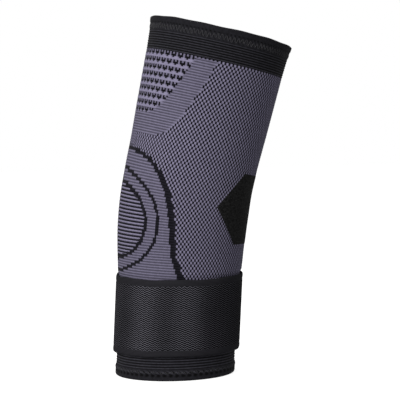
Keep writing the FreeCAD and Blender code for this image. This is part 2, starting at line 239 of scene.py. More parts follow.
def grid_mesh(name, points, ring=True, loop=True, faces=None, verts=None, stitch=None, caps=False):
    """Mesh over a grid of points (rows, columns, 3). loop joins the last row to the first, and
    ring the last column to the first. caps closes the two ends that are left open. faces and
    verts are named values, one for each, and stitch gives the stitch coordinates."""
    rows, columns = points.shape[:2]
    corners, starts, r0, c0 = grid_faces(rows, columns, ring, loop, caps)
    mesh = bpy.data.meshes.new(name)
    mesh.vertices.add(rows * columns)
    mesh.vertices.foreach_set("co", (points * MM).ravel())
    mesh.loops.add(len(corners))
    mesh.loops.foreach_set("vertex_index", corners)
    mesh.polygons.add(len(starts))
    mesh.polygons.foreach_set("loop_start", starts)
    mesh.update(calc_edges=True)
    mesh.polygons.foreach_set("use_smooth", np.ones(len(starts), bool))
    for kind, named, length in (("FACE", faces, len(starts)), ("POINT", verts, rows * columns)):
        for title, values in (named or {}).items():
            layer = mesh.attributes.new(title, "FLOAT", kind)
            layer.data.foreach_set("value", padded(values, length))
    if stitch is not None:
        layer = mesh.uv_layers.new(name="stitch")
        picks = ((r0, c0), (r0, c0 + 1), (r0 + 1, c0 + 1), (r0 + 1, c0))
        flat = np.stack([stitch[pick] for pick in picks], -2)
        layer.data.foreach_set("uv", padded(flat, 2 * len(corners)))
    mesh.update()
    return new_object(name, mesh)


def stitch_grid(across, along):
    """Values (rows, columns, 2) for a mesh's stitch coordinates."""
    along = np.asarray(along, float)
    across = np.asarray(across, float)
    if along.ndim == 1:
        along = along[:, None] + 0 * across[None, :]
    return np.stack((across[None, :] + 0 * along, along), -1)


def blend_sleeve(obj):
    """Bakes a piece's place into its mesh. The bend's ends are worked out but not used: the piece is not
    bent.
    """
    start = on_tube(FLEX_FROM, 0.0, 0.0)
    end = on_tube(FLEX_TO, 0.0, 0.0)
    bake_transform(obj)


# ---- material nodes ----

class Shader:
    """A material, and short ways to add nodes to it."""

    def __init__(self, name, **sockets):
        self.material = bpy.data.materials.new(name)
        self.material.use_nodes = True
        self.tree = self.material.node_tree
        self.shader = self.tree.nodes["Principled BSDF"]
        for title, value in sockets.items():
            self.shader.inputs[title.replace("_", " ")].default_value = value

    def node(self, kind, settings=None, **inputs):
        """New node. Inputs are named with underscores for spaces."""
        node = self.tree.nodes.new("ShaderNode" + kind)
        for title, value in (settings or {}).items():
            setattr(node, title, value)
        for title, value in inputs.items():
            self.feed(node.inputs[title.replace("_", " ")], value)
        return node

    def feed(self, socket, value):
        """Links a value to a socket, or sets it there."""
        if isinstance(value, bpy.types.NodeSocket):
            self.tree.links.new(value, socket)
        else:
            socket.default_value = value

    def math(self, operation, first, second=0.0, third=0.0, clamp=False):
        node = self.node("Math", {"operation": operation, "use_clamp": clamp})
        for socket, value in zip(node.inputs, (first, second, third)):
            self.feed(socket, value)
        return node.outputs[0]

    def plus(self, first, second):
        return self.math("ADD", first, second)

    def times(self, first, second):
        return self.math("MULTIPLY", first, second)

    def over(self, first, second):
        return self.math("DIVIDE", first, second)

    def fold(self, value):
        """0.5 at whole numbers and 0 halfway between them."""
        return self.math("ABSOLUTE", self.math("SUBTRACT", self.math("FRACT", value), 0.5))

    def mix(self, share, first, second):
        """From the first colour to the second."""
        node = self.node("Mix", {"data_type": "RGBA"})
        self.feed(node.inputs[0], share)
        self.feed(node.inputs[6], first)
        self.feed(node.inputs[7], second)
        return node.outputs[2]

    def scale_colour(self, colour, value):
        """Colour multiplied by a value."""
        node = self.node("Mix", {"data_type": "RGBA", "blend_type": "MULTIPLY"})
        self.feed(node.inputs[0], 1.0)
        self.feed(node.inputs[6], colour)
        joined = self.node("CombineColor", None, Red=value, Green=value, Blue=value)
        self.feed(node.inputs[7], joined.outputs[0])
        return node.outputs[2]

    def attribute(self, title, output="Fac"):
        return self.node("Attribute", {"attribute_name": title}).outputs[output]

    def stitch(self):
        """The mesh's stitch coordinates."""
        return self.split(self.attribute("stitch", "Vector"))

    def place(self):
        """Place in the piece's own space."""
        return self.node("TexCoord").outputs["Object"]

    def split(self, vector):
        """First two parts of a vector."""
        node = self.node("SeparateXYZ", None, Vector=vector)
        return node.outputs[0], node.outputs[1]

    def noise(self, scale, detail=2.0):
        node = self.node("TexNoise", None, Vector=self.place(), Scale=scale, Detail=detail)
        return node.outputs[0]

    def cell_noise(self, u, v):
        """One random value for each whole cell."""
        whole = self.node("CombineXYZ", None, X=self.math("FLOOR", u), Y=self.math("FLOOR", v))
        return self.node("TexWhiteNoise", None, Vector=whole.outputs[0]).outputs["Value"]

    def wave(self, phase):
        """0 to 1 and back for each whole step of phase, 0 at whole numbers."""
        turn = self.times(phase, 2 * math.pi)
        return self.math("MULTIPLY_ADD", self.math("COSINE", turn), -0.5, 0.5)

    def remap(self, value, low, high):
        """0..1 to low..high."""
        return self.math("MULTIPLY_ADD", value, high - low, low)

    def bump(self, height, distance, strength=1.0):
        """Fine relief. The distance is in millimetres."""
        node = self.node("Bump", None, Height=height, Distance=distance * MM, Strength=strength)
        self.tree.links.new(node.outputs[0], self.shader.inputs["Normal"])

    def paint(self, colour):
        self.feed(self.shader.inputs["Base Color"], colour)


def knit_material():
    """Two-colour jacquard: lilac and black yarns, with painted shade in the valleys between the courses
    and along the stitches' legs.
    """
    m = Shader("sleeve_knit", Roughness=0.92, Sheen_Weight=0.03, Sheen_Roughness=0.6,
               Specular_IOR_Level=0.1)
    u, v = m.stitch()
    yarn = m.attribute("yarn")
    # The relief attribute here is painted shade: dark in the valleys between courses and round the pits,
    # light on the crests.
    relief = m.attribute("relief")
    slant = m.fold(u)
    legs = m.wave(m.plus(m.times(v, 2.0), slant))
    lilac = m.mix(m.noise(38.0, 3.0), (0.315, 0.292, 0.435, 1), (0.36, 0.335, 0.49, 1))
    colour = m.mix(yarn, lilac, (0.0125, 0.0115, 0.018, 1))
    shade = m.remap(m.times(relief, relief), 0.2, 1.0)
    shade = m.times(shade, m.remap(m.cell_noise(u, v), 0.92, 1.08))
    # legs adds painted shade and light along each stitch's legs.
    shade = m.times(shade, m.remap(legs, 0.9, 1.05))
    shade = m.times(shade, m.remap(m.noise(2600.0, 2.0), 0.85, 1.15))
    m.paint(m.scale_colour(colour, shade))
    fibres = m.plus(m.times(legs, 0.6), m.times(m.noise(2200.0, 3.0), 0.8))
    m.bump(fibres, 0.12, 0.6)
    return m.material


def fine_knit_material():
    """Fine black knit of the crease panel, with painted shade between its rows and columns of stitches.
    """
    m = Shader("crease_knit", Roughness=0.9, Sheen_Weight=0.02, Sheen_Roughness=0.5,
               Specular_IOR_Level=0.15)
    u, v = m.stitch()
    rows = m.wave(v)
    columns = m.wave(u)
    weave = m.times(m.remap(rows, 0.15, 1.0), m.remap(columns, 0.45, 1.0))
    colour = m.mix(m.noise(60.0), (0.026, 0.026, 0.026, 1), (0.04, 0.04, 0.041, 1))
    # weave darkens the colour between the rows and columns: painted shade.
    m.paint(m.scale_colour(colour, m.times(weave, m.remap(m.cell_noise(u, v), 0.4, 1.6))))
    m.bump(m.plus(weave, m.times(m.noise(2500.0), 0.5)), 0.15, 0.7)
    return m.material


def cuff_material():
    """Black elastic rib, with painted shade in the hollows, holes and between the stitch legs, and
    painted highlight on the ribs and chain stitches.
    """
    m = Shader("cuff_rib", Roughness=0.85, Sheen_Weight=0.03, Sheen_Roughness=0.5,
               Specular_IOR_Level=0.12)
    u, v = m.stitch()
    relief = m.attribute("relief")
    slant = m.fold(u)
    legs = m.wave(m.plus(m.times(v, 1.4), slant))
    colour = m.mix(m.noise(45.0), (0.022, 0.0215, 0.028, 1), (0.03, 0.0295, 0.037, 1))
    # Painted shade and highlight from the relief: dark hollows and holes, light tops.
    shade = m.remap(m.times(relief, relief), 0.1, 1.9)
    # legs adds painted shade along each stitch's legs.
    shade = m.times(shade, m.remap(legs, 0.75, 1.15))
    shade = m.times(shade, m.remap(m.cell_noise(u, v), 0.8, 1.2))
    m.paint(m.scale_colour(colour, shade))
    m.bump(m.plus(legs, m.noise(2000.0, 3.0)), 0.12, 0.6)
    return m.material


def strap_material():
    """Woven elastic: rows of glossy zigzag threads over dark gaps, with smooth selvedges. The threads'
    colour rises and falls in broad bands of painted sheen along the strap.
    """
    m = Shader("strap_elastic", IOR=1.35, Specular_IOR_Level=0.12)
    u, v = m.stitch()
    border = m.attribute("border")
    swing = m.fold(m.over(u, ZIGZAG))
    phase = m.over(m.math("MULTIPLY_ADD", swing, 2 * ZIGZAG_RISE, v), THREAD_ROW)
    zigzag = m.math("POWER", m.wave(phase), 5.0)
    threads = m.remap(m.wave(m.over(u, ZIGZAG / 6)), 0.7, 1.0)
    # Painted sheen: broad bands along the strap brighten and dim the threads' colour, as a glint of the
    # key light would.
    sheen_bands = m.wave(m.over(m.math("SUBTRACT", u, SHEEN_BAND_START), SHEEN_BAND))
    slow_sheen = m.wave(m.over(m.math("SUBTRACT", u, SHEEN_START), SHEEN_LENGTH))
    sheen_bands = m.times(m.remap(sheen_bands, 0.35, 1.0), slow_sheen)
    sheen_bands = m.plus(sheen_bands, m.remap(m.noise(16.0), -0.15, 0.15))
    rows = m.times(m.times(zigzag, threads), m.remap(sheen_bands, 0.42, 1.5))
    hem = m.remap(m.wave(m.over(v, 0.9)), 0.06, 0.17)
    woven = m.times(rows, m.math("SUBTRACT", 1.0, border))
    weave = m.math("ADD", woven, m.times(hem, border), clamp=True)
    worn = m.remap(m.noise(30.0, 3.0), 0.85, 1.15)
    colour = m.mix(weave, (0.0012, 0.0012, 0.0016, 1), (0.2, 0.196, 0.235, 1))
    m.paint(m.scale_colour(colour, worn))
    m.feed(m.shader.inputs["Roughness"], m.remap(weave, 0.85, 0.4))
    m.bump(m.plus(weave, m.times(m.noise(2400.0), 0.25)), 0.2, 0.7)
    return m.material


def tape_material():
    """Folded woven tape."""
    m = Shader("binding_tape", Roughness=0.7, Sheen_Weight=0.1)
    x, y = m.split(m.place())
    ribs = m.wave(m.times(m.plus(x, y), 1400.0))
    colour = m.mix(m.noise(200.0), (0.014, 0.014, 0.016, 1), (0.026, 0.026, 0.029, 1))
    m.paint(m.scale_colour(colour, m.remap(ribs, 0.7, 1.1)))
    m.bump(m.plus(ribs, m.noise(1500.0)), 0.15, 0.6)
    return m.material


def thread_material():
    """Twisted sewing thread."""
    m = Shader("thread", Roughness=0.7, Sheen_Weight=0.05)
    ply = m.wave(m.times(m.noise(900.0, 1.0), 6.0))
    m.paint(m.mix(ply, (0.018, 0.018, 0.021, 1), (0.065, 0.064, 0.072, 1)))
    m.bump(ply, 0.08, 0.6)
    return m.material


def silicone_material():
    """Soft matte silicone with a fine moulded grain."""
    m = Shader("silicone", Roughness=0.42, Coat_Weight=0.1, Coat_Roughness=0.3)
    m.paint(m.mix(m.noise(90.0, 3.0), (0.05, 0.05, 0.058, 1), (0.075, 0.075, 0.085, 1)))
    m.bump(m.noise(900.0, 3.0), 0.1, 0.5)
    return m.material


def gel_material():
    """Translucent grey gel."""
    m = Shader("pad_gel", Roughness=0.35, Subsurface_Weight=0.2)
    m.paint(m.mix(m.noise(70.0, 3.0), (0.08, 0.08, 0.1, 1), (0.12, 0.12, 0.145, 1)))
    m.bump(m.noise(300.0, 2.0), 0.2, 0.4)
    return m.material


def lining_material():
    """Brushed stretch lining."""
    m = Shader("pocket_lining", Roughness=0.9, Sheen_Weight=0.3, Sheen_Roughness=0.5)
    pile = m.noise(1600.0, 4.0)
    y = m.split(m.place())[1]
    m.paint(m.mix(pile, (0.02, 0.02, 0.024, 1), (0.05, 0.05, 0.058, 1)))
    m.bump(m.plus(pile, m.wave(m.times(y, 900.0))), 0.2, 0.6)
    return m.material


def pile_material():
    """Brushed loop pile."""
    m = Shader("loop_pile", Roughness=0.95, Sheen_Weight=0.5, Sheen_Roughness=0.4)
    loops = m.node("TexVoronoi", None, Vector=m.place(), Scale=1300.0).outputs["Distance"]
    m.paint(m.mix(loops, (0.035, 0.035, 0.038, 1), (0.008, 0.008, 0.009, 1)))
    m.bump(m.plus(m.times(loops, -1.0), m.noise(700.0, 4.0)), 0.4, 0.9)
    return m.material


def hook_material():
    """Rows of small moulded hooks."""
    m = Shader("hook_tape", Roughness=0.45)
    u, v = m.stitch()
    hooks = m.times(m.wave(m.over(u, 1.3)), m.wave(m.over(v, 0.9)))
    m.paint(m.mix(hooks, (0.006, 0.006, 0.006, 1), (0.03, 0.03, 0.031, 1)))
    m.bump(m.plus(hooks, m.times(m.noise(900.0), 0.3)), 0.5, 1.0)
    return m.material


def label_material():
    """Blank satin tape."""
    m = Shader("label_tape", Roughness=0.5, Sheen_Weight=0.3)
    u, v = m.stitch()
    weave = m.times(m.wave(m.over(u, 0.5)), m.wave(m.over(v, 0.8)))
    colour = m.mix(m.noise(120.0), (0.62, 0.62, 0.64, 1), (0.74, 0.74, 0.75, 1))
    m.paint(m.scale_colour(colour, m.remap(weave, 0.82, 1.0)))
    m.bump(weave, 0.08, 0.5)
    return m.material


# ---- the knitted tube ----

def oval_distance(x, s, shape):
    """Roughly how far a point is outside a rounded oval, negative inside, from its distance
    round the tube from the elbow line and its distance s."""
    middle, (half_width, half_height), power = shape
    px = np.abs(x) / half_width
    py = np.abs(s - middle) / half_height
    size = np.maximum((px ** power + py ** power) ** (1 / power), 1e-6)
    slope_x = (px / size) ** (power - 1) / half_width
    slope_y = (py / size) ** (power - 1) / half_height
    return (size - 1) / np.hypot(slope_x, slope_y)


def lay(cells, where, **values):
    """Gives new values to the cells of one part of the pattern."""
    for title, value in values.items():
        cells[title] = np.where(where, value, cells[title])


def vee(side, low, rise, start, width, power):
    """Lower edge of a V-shaped area: level up to start degrees from the elbow line, then rising."""
    return low + rise * (np.clip(side - start, 0, None) / width) ** power


def lay_honeycomb(cells, s, side, ridge, down, wale):
    """Small dark marks in half drop, in a plain V-shaped band. down counts mesh rows from the
    top, and side is in degrees from the elbow line."""
    band = s > vee(side, low=47.2, rise=59.8, start=50, width=43, power=2)
    lay(cells, band, yarn=0, height=ridge, light=ridge)

    tall = len(MOTIF)
    wide = len(MOTIF[0])
    motif = np.array([[mark == "#" for mark in line] for line in MOTIF], float)
    drop = (down // tall) % 2
    marks = motif[down % tall, (wale + wide // 2 * drop) % wide]
    comb = s > vee(side, low=61.5, rise=45.5, start=30, width=45, power=2.3)
    # Marked cells are black yarn, sunk, and darkened further with painted shade.
    lay(cells, comb, yarn=marks, height=1.0 - 1.1 * marks, light=0.95 - 0.5 * marks)


def lay_arch(cells, s, x, ridge):
    """Black arch over the elbow, plain inside. Its legs spread towards the strap, and its line
    is thinner at the top and wider beside the elbow."""
    spread = LEG_SPREAD * np.clip(LEGS_BELOW - s, 0, None)
    arch = oval_distance(x - spread, s, ARCH)
    lay(cells, arch < 0, yarn=0, height=ridge)
    lay(cells, arch < 2, light=ridge)
    reach = ARCH_LINE - 0.5 * smooth((s - 5) / 25) + 0.5 * smooth((LEGS_BELOW - s) / 8)
    elbow = smooth((18 - s) / 15) * smooth((s + 46) / 8)
    line = (arch > -reach + 0.3 * elbow) & (arch < reach + 0.9 * elbow)
    lay(cells, line, yarn=LINE_YARN, height=ridge * 0.7)


def lay_ovals(cells, s, x, ridge, k):
    """Two ovals round the elbow point, the inner one filled with fine stripes."""
    outer = oval_distance(x, s, OUTER_OVAL)
    inner = oval_distance(x, s, INNER_OVAL)
    line = (np.abs(outer) < OUTER_LINE) | (np.abs(inner) < INNER_LINE)
    lay(cells, line, yarn=LINE_YARN, height=ridge * 0.7)
    stripe = STRIPES[k % len(STRIPES)] + 0 * s
    fill = inner <= -INNER_LINE
    lay(cells, fill, yarn=stripe, height=1 - 0.9 * stripe, light=1 - 0.5 * stripe)


def knit_pattern(rows):
    """Yarn (0 lilac, 1 black), height and painted light (painted shade in hollows, lighter tops) of each
    cell, from the detail's bottom row up.
    The ground is a check of single stitches."""
    k = np.arange(rows)[:, None]
    wale = np.arange(WALES)[None, :]
    course = k // STEPS
    s = DETAIL_BOTTOM + (course + 0.5) * COURSE + 0 * wale
    turn = (wale + 0.5) * 360.0 / WALES
    side = np.minimum(turn, 360 - turn) + 0 * k       # degrees from the elbow line
    x = side * ARC

    ridge = COURSE_ROWS[k % STEPS] + 0 * side
    checks = ((wale + course) % 2).astype(float)
    # The ground's painted light follows the course rows: painted shade in the valleys, lighter ridges.
    cells = {"yarn": checks, "height": ridge * (1 - 0.45 * checks), "light": 0.75 + 0.25 * ridge}
    lay_honeycomb(cells, s, side, ridge, rows - 1 - k, wale)
    lay_arch(cells, s, x, ridge)
    lay_ovals(cells, s, x, ridge, k)

    # Teeth where the knit meets the cuff
    lay(cells, (k >= rows - 2) & (wale % 2 == 0), yarn=1)
    return cells["yarn"], cells["height"], cells["light"]


def corner_average(cells):
    """Value at each row of vertices from the cells round it. Columns go all the way round."""
    longer = np.concatenate((cells[:1], cells, cells[-1:]))
    rows = (longer[1:] + longer[:-1]) / 2
    return (rows + np.roll(rows, 1, axis=1)) / 2


def sleeve_knit():
    """The whole knitted tube: the patterned outside, and a plain inside with a slight wave."""
    detail = DETAIL_COURSES * STEPS
    yarn, height, light = knit_pattern(detail)
    relief = corner_average(height)
    angle = np.pi + np.arange(WALES) * 2 * np.pi / WALES
    hidden = np.linspace(KNIT_BOTTOM, DETAIL_BOTTOM, 12)[:-1]
    s_out = np.concatenate((hidden, DETAIL_BOTTOM + np.arange(detail + 1) * SUB))
    s_in = np.linspace(KNIT_TOP, KNIT_BOTTOM, 56)
    outside = knit_radius(s_out[:, None], angle[None, :])
    outside[len(hidden):] += RIDGE * (relief - 0.5)
    wave = 0.12 * np.cos(2 * np.pi * s_in / 7.6)[:, None]
    inside = knit_radius(s_in[:, None], angle[None, :]) - KNIT_WALL + wave
    s = np.concatenate((s_out, s_in))
    radius = np.concatenate((outside, inside))
    points = on_tube(s[:, None], angle[None, :], radius)
    rows = len(s)
    cells = np.zeros((rows, WALES))
    cells[len(hidden):len(hidden) + detail] = yarn
    cells[len(s_out):] = 0.55         # both yarns float on the inside
    # shade is painted shade, stored as the relief attribute: from the cells' painted light on the
    # detailed rows, a flat 0.7 elsewhere.
    shade = np.full((rows, WALES), 0.7)
    shade[len(hidden):len(s_out)] = corner_average(light)
    along = np.append(s, KNIT_BOTTOM) / COURSE
    stitch = stitch_grid(np.arange(WALES + 1), along)
    obj = grid_mesh("sleeve_knit", points, faces={"yarn": cells}, verts={"relief": shade}, stitch=stitch)
    obj.data.materials.append(knit_material())
    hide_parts("forearm_knit", "elbow_knit", "upper_arm_knit")
    blend_sleeve(obj)


def crease_knit():
    """Hexagon of fine black knit in the crease, set a little proud of the sleeve."""
    tip = math.radians(61)
    corner = math.radians(36)
    half = 29.2
    middle = 5.0
    row_height = 1.05
    angle = np.linspace(-tip, tip, 150)
    reach = np.clip((tip - np.abs(angle)) / (tip - corner), 0.004, 1) * half
    share = np.linspace(-1, 1, 121)
    s_out = middle + share[:, None] * reach[None, :]
    outer = knit_radius(s_out, angle[None, :]) + 0.16
    edge = np.minimum(np.abs(1 - np.abs(share))[:, None] * reach, 0.8) / 0.8
    outer = outer - 0.25 * (1 - edge)
    inner = knit_radius(s_out[::-1], angle[None, :]) - 0.7
    s = np.concatenate((s_out, s_out[::-1]))
    points = on_tube(s, angle[None, :], np.concatenate((outer, inner)))
    along = np.concatenate((s, s_out[:1])) / row_height
    across = angle / (2 * math.pi) * WALES * 1.2
    obj = grid_mesh("crease_knit", points, ring=False, caps=True, stitch=stitch_grid(across, along))
    obj.data.materials.append(fine_knit_material())
    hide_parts("crease_panel")
    blend_sleeve(obj)


# ---- sewing thread ----

THREAD = 0.22             # radius of the sewing thread
THREAD_SIDES = 6


def thread_loop(name, s, angle, radius):
    """Closed loop of thread."""
    route = on_tube(s, angle, radius)
    out = on_tube(s, angle, radius + 1) - route
    along = np.roll(route, -1, axis=0) - np.roll(route, 1, axis=0)
    along /= np.linalg.norm(along, axis=1, keepdims=True)
    across = np.cross(along, out)
    across /= np.linalg.norm(across, axis=1, keepdims=True)
    turn = np.arange(THREAD_SIDES)[None, :, None] * 2 * np.pi / THREAD_SIDES
    points = route[:, None] + THREAD * (np.cos(turn) * out[:, None] + np.sin(turn) * across[:, None])
    obj = grid_mesh(name, points)
    obj.data.materials.append(materials["thread"])
    return obj


def cover_stitch(count):
    """Angles round the tube, swing of about -1 to 1 and lift of a zigzag seam whose thread dips
    into the cloth at each turn. Its strokes are a little uneven."""
    share = np.arange(count * 8) / (count * 8)
    turn = 2 * np.pi * share
    stroke = np.cos(turn * count)
    swing = stroke * (0.85 + 0.15 * np.sin(turn * 31)) + 0.15 * np.sin(turn * 19)
    uneven = turn + 0.004 * np.sin(turn * 37)
    return uneven, swing, 0.1 - 0.35 * np.abs(stroke) ** 3


# ---- cuffs ----

CUFF_COLUMNS = 2 * WALES
CUFF_ANGLE = np.pi + np.arange(CUFF_COLUMNS)[None, :] * 2 * np.pi / CUFF_COLUMNS
UPPER_RIB = 1.75
RIB_END = KNIT_TOP + 8 * UPPER_RIB
RIM_START = UPPER_END - 4.6
FOLD_OVER = 1.2           # the rim's last stretch, which rounds over
FOLD_START = UPPER_END - FOLD_OVER
CUFF_RADII = (50.75, 51.7, 52.9)  # at the knit, at the end of the ribs and at the rim
UPPER_STITCHES = 110      # round the upper hem
LOWER_RIB = 1.9
LOWER_HEM = 8.2           # height of the lower hem
HEM_STITCHES = 62         # round the lower hem
LOWER_RADIUS = 43.8       # radius at which the lower cuff's heights are counted
LOWER_OUTER = 43.5
CHAIN_AT = 6.1            # heights of the chain of stitches and of the row of holes
HOLES_AT = 4.0
SEAM_AT = 6.2             # height and radius of the lower seam's thread
SEAM_OUT = 44.05
EDGE_UP = 1.6             # how far the lower edge's rounding reaches, up and in
EDGE_IN = 1.4


def cuff(name, s_out, outer, s_in, inner, relief, node, body):
    """Closed ring with a detailed outer side. relief is about 0 to 1, for the outer rows; it also goes
    to the material as painted shade and highlight.
    """
    s = np.concatenate((s_out, s_in))
    points = on_tube(s, CUFF_ANGLE, np.concatenate((outer, inner)))
    shade = np.concatenate((relief, np.full(inner.shape, 0.6)))
    along = np.concatenate((s, s[:1]))
    along = np.concatenate((along, along[:, :1]), axis=1) / 1.4
    stitch = stitch_grid(np.arange(CUFF_COLUMNS + 1) * WALES / CUFF_COLUMNS, along)
    obj = grid_mesh(name, points, verts={"relief": shade}, stitch=stitch)
    obj.data.materials.append(materials["cuff"])
    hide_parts(node)
    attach(obj, body)


def upper_relief(s):
    """Ribs, then a tangled band, then slots under the rolled rim. It shapes the outer rows, and as
    painted shade darkens the hollows and slots and lightens the tops.
    """
    ribs = 0.5 - 0.5 * np.cos(2 * np.pi * (s - KNIT_TOP) / UPPER_RIB)
    band = smooth((s - RIB_END) / 0.5) * (1 - smooth((s - RIM_START) / 0.8))
    columns = np.cos(CUFF_ANGLE * WALES / 2)
    tangle = np.cos(CUFF_ANGLE * WALES / 2 + 1.2 * np.sin(CUFF_ANGLE * 17) + 1.5 * (s - RIB_END))
    slots = np.exp(-((s - RIM_START) / 0.45) ** 2) * (0.5 + 0.5 * columns) ** 2
    hem = 0.56 + 0.16 * tangle * band - 0.4 * slots
    return np.where(s < RIB_END, ribs + 0 * CUFF_ANGLE, hem)


def upper_wave(rows):
    """Rows that ripple a little towards the rim."""
    ripple = 0.2 * np.sin(CUFF_ANGLE * 5 + 0.4) + 0.14 * np.sin(CUFF_ANGLE * 13)
    return rows + ripple * smooth((rows - RIB_END) / (UPPER_END - RIB_END))


def upper_cuff():
    """Ribs, a zigzag seam, and a rolled rim."""
    roll = FOLD_START + FOLD_OVER * np.sin(np.linspace(0, math.pi / 2, 5))
    s = np.concatenate((np.arange(KNIT_TOP, FOLD_START, UPPER_RIB / 6), roll))[:, None]
    relief = upper_relief(s)
    base = np.interp(s, (KNIT_TOP, RIB_END, UPPER_END), CUFF_RADII)
    fold = np.clip((s - FOLD_START) / FOLD_OVER, 0, 1)
    drop = 1.3 * (1 - np.sqrt(1 - fold ** 2))
    outer = base + 0.3 * (relief - 0.5) + 0.35 * smooth((s - RIM_START) / 0.8) - drop
    rim_rows = UPPER_END - 0.4 * np.arange(4)
    s_in = np.concatenate((rim_rows, np.linspace(UPPER_END - 4, KNIT_TOP, 18)))[:, None]
    inner_at = (KNIT_TOP, UPPER_END - 6, UPPER_END - 2, UPPER_END)
    inner = np.interp(s_in, inner_at, (48.5, 48.6, 50.0, 51.0)) + 0 * CUFF_ANGLE
    cuff("upper_cuff_rib", upper_wave(s), outer, upper_wave(s_in), inner, relief,
         "upper_cuff", "upper_arm_section")

    turn, swing, sink = cover_stitch(UPPER_STITCHES)
    middle = (RIB_END + RIM_START) / 2 + (RIM_START - RIB_END - 0.8) / 2 * swing
    surface = np.interp(middle, (RIB_END, UPPER_END), CUFF_RADII[1:])
    obj = thread_loop("upper_hem_thread", middle, turn, surface + sink)
    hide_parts("upper_hem_stitching")
    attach(obj, "upper_arm_section")


def lower_relief(height):
    """A row of holes, a chain of stitches, then ribs. It shapes the outer rows, and as painted shade
    darkens the holes and hollows; the ribs and chain get painted highlight.
    """
    ribs = 0.62 - 0.5 * np.cos(2 * np.pi * (height - LOWER_HEM) / LOWER_RIB)
    waver = 0.9 * np.sin(CUFF_ANGLE * 13)
    chain = 0.5 + 0.5 * np.cos(CUFF_ANGLE * HEM_STITCHES + height * 2.2 + waver)
    bumps = 2.1 * np.exp(-((height - CHAIN_AT) / 1.1) ** 2) * (chain - 0.42)
    apart = 0.5 + 0.5 * np.cos(CUFF_ANGLE * HEM_STITCHES)
    holes = np.exp(-((height - HOLES_AT) / 0.9) ** 2) * apart
    hem = 0.62 + 0.45 * bumps - 0.75 * holes
    return np.where(height > LOWER_HEM, ribs + 0 * CUFF_ANGLE, hem)


def lower_cuff():
    """Ribs under the strap, then a rolled hem with a zigzag seam. Its rows are level."""
    turn = np.linspace(0, math.pi / 2, 7)[:, None]
    edge_rows = EDGE_UP - EDGE_UP * np.cos(turn)
    height = np.concatenate((edge_rows, np.arange(2.0, 26.0, 0.32)[:, None]))
    relief = lower_relief(height)
    straight = np.zeros((len(height) - len(turn), 1))
    round_off = np.concatenate((EDGE_IN - EDGE_IN * np.sin(turn), straight))
    swell = 0.55 * smooth((LOWER_HEM + 0.5 - height) / 1.5)
    outer = LOWER_OUTER + 0.4 * (relief - 0.5) + swell - round_off
    s_out = level(height, CUFF_ANGLE, LOWER_RADIUS)
    in_height = np.array((24.0, 20.0, 16.5, 12.0, 8.0, 6.0, 4.5, 3.5, 2.5, 1.5, 0.7, 0.25))[:, None]
    inner = np.interp(in_height, (0.25, 1.5, 4.5, 26), (42.7, 41.8, 41.35, 41.35)) + 0 * CUFF_ANGLE
    s_in = level(in_height, CUFF_ANGLE, 42.0)
    cuff("lower_cuff_rib", s_out, outer, s_in, inner, relief, "lower_cuff", "forearm_section")

    turn, swing, sink = cover_stitch(HEM_STITCHES)
    s = level(SEAM_AT + swing, turn, LOWER_RADIUS)
    obj = thread_loop("lower_hem_thread", s, turn, SEAM_OUT + sink)
    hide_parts("lower_hem_stitching")
    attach(obj, "forearm_section")


# ---- strap ----

def strap_lift(degrees):
    """0 on the band, 1 on the tail that lies over it."""
    return smooth((degrees - (FOLD - RAMP)) / RAMP)


def strap_heights(degrees):
    """Bottom and top of the strap at angles, with the free end's corners rounded."""
    angle = np.radians(degrees)
    ripple = 0.25 * np.sin(angle * 7.0) + 0.15 * np.sin(angle * 17.0 + 1.0)
    low = STRAP_LOW + 0.6 * ripple
    high = strap_top(angle) + ripple
    left = (STRAP_END - degrees) * math.radians(1) * TAIL_INNER
    inside = np.clip(1 - left / END_CORNER, 0, 1)
    corner = END_CORNER * (1 - np.sqrt(np.clip(1 - inside ** 2, 0, 1)))
    return low + corner, high - corner


def strap_weave(along, height):
    """Relief of the zigzag threads, 0 to 1, at lengths along the strap and heights on it."""
    swing = np.abs(np.mod(along / ZIGZAG, 1) - 0.5)
    return 0.5 - 0.5 * np.cos(2 * np.pi * (height + 2 * ZIGZAG_RISE * swing) / THREAD_ROW)


def strap_rows(low, high):
    """Heights of the mesh rows from one edge to the other."""
    low_rows = low + EDGE_ROWS
    high_rows = (high - EDGE_ROWS)[::-1]
    inward = np.linspace(0, 1, STRAP_ROWS)[1:-1, None]
    middle = low_rows[-1] + (high_rows[0] - low_rows[-1]) * inward
    return np.concatenate((low_rows, middle, high_rows))


def strap_sides(angle, lift, heights, from_edge):
    """Radii of the strap's woven outer side and of its plain back."""
    inner = STRAP_INNER + (TAIL_INNER - STRAP_INNER) * lift
    cloth = STRAP_CLOTH + (TAIL_CLOTH - STRAP_CLOTH) * lift
    roll = np.sqrt(np.clip(1 - (1 - np.clip(from_edge / EDGE_BLEND, 0, 1)) ** 2, 0, 1))
    hem = np.exp(-((from_edge - 2.2) / 1.3) ** 2) - 0.7 * np.exp(-((from_edge - 4.6) / 0.7) ** 2)
    weave = strap_weave(angle * STRAP_ROUND, heights - STRAP_LOW) - 0.6
    woven = smooth((from_edge - WEAVE_FROM) / EDGE_BLEND) * weave
    wavy = np.sin(angle * 9.0 + 0.9) + 0.6 * np.sin(angle * 21.0 + heights * 0.03)
    out = inner + cloth * (0.5 + 0.5 * roll) + 0.16 * hem + 0.2 * woven + 0.12 * roll * wavy
    return out, inner + cloth * (0.5 - 0.5 * roll)


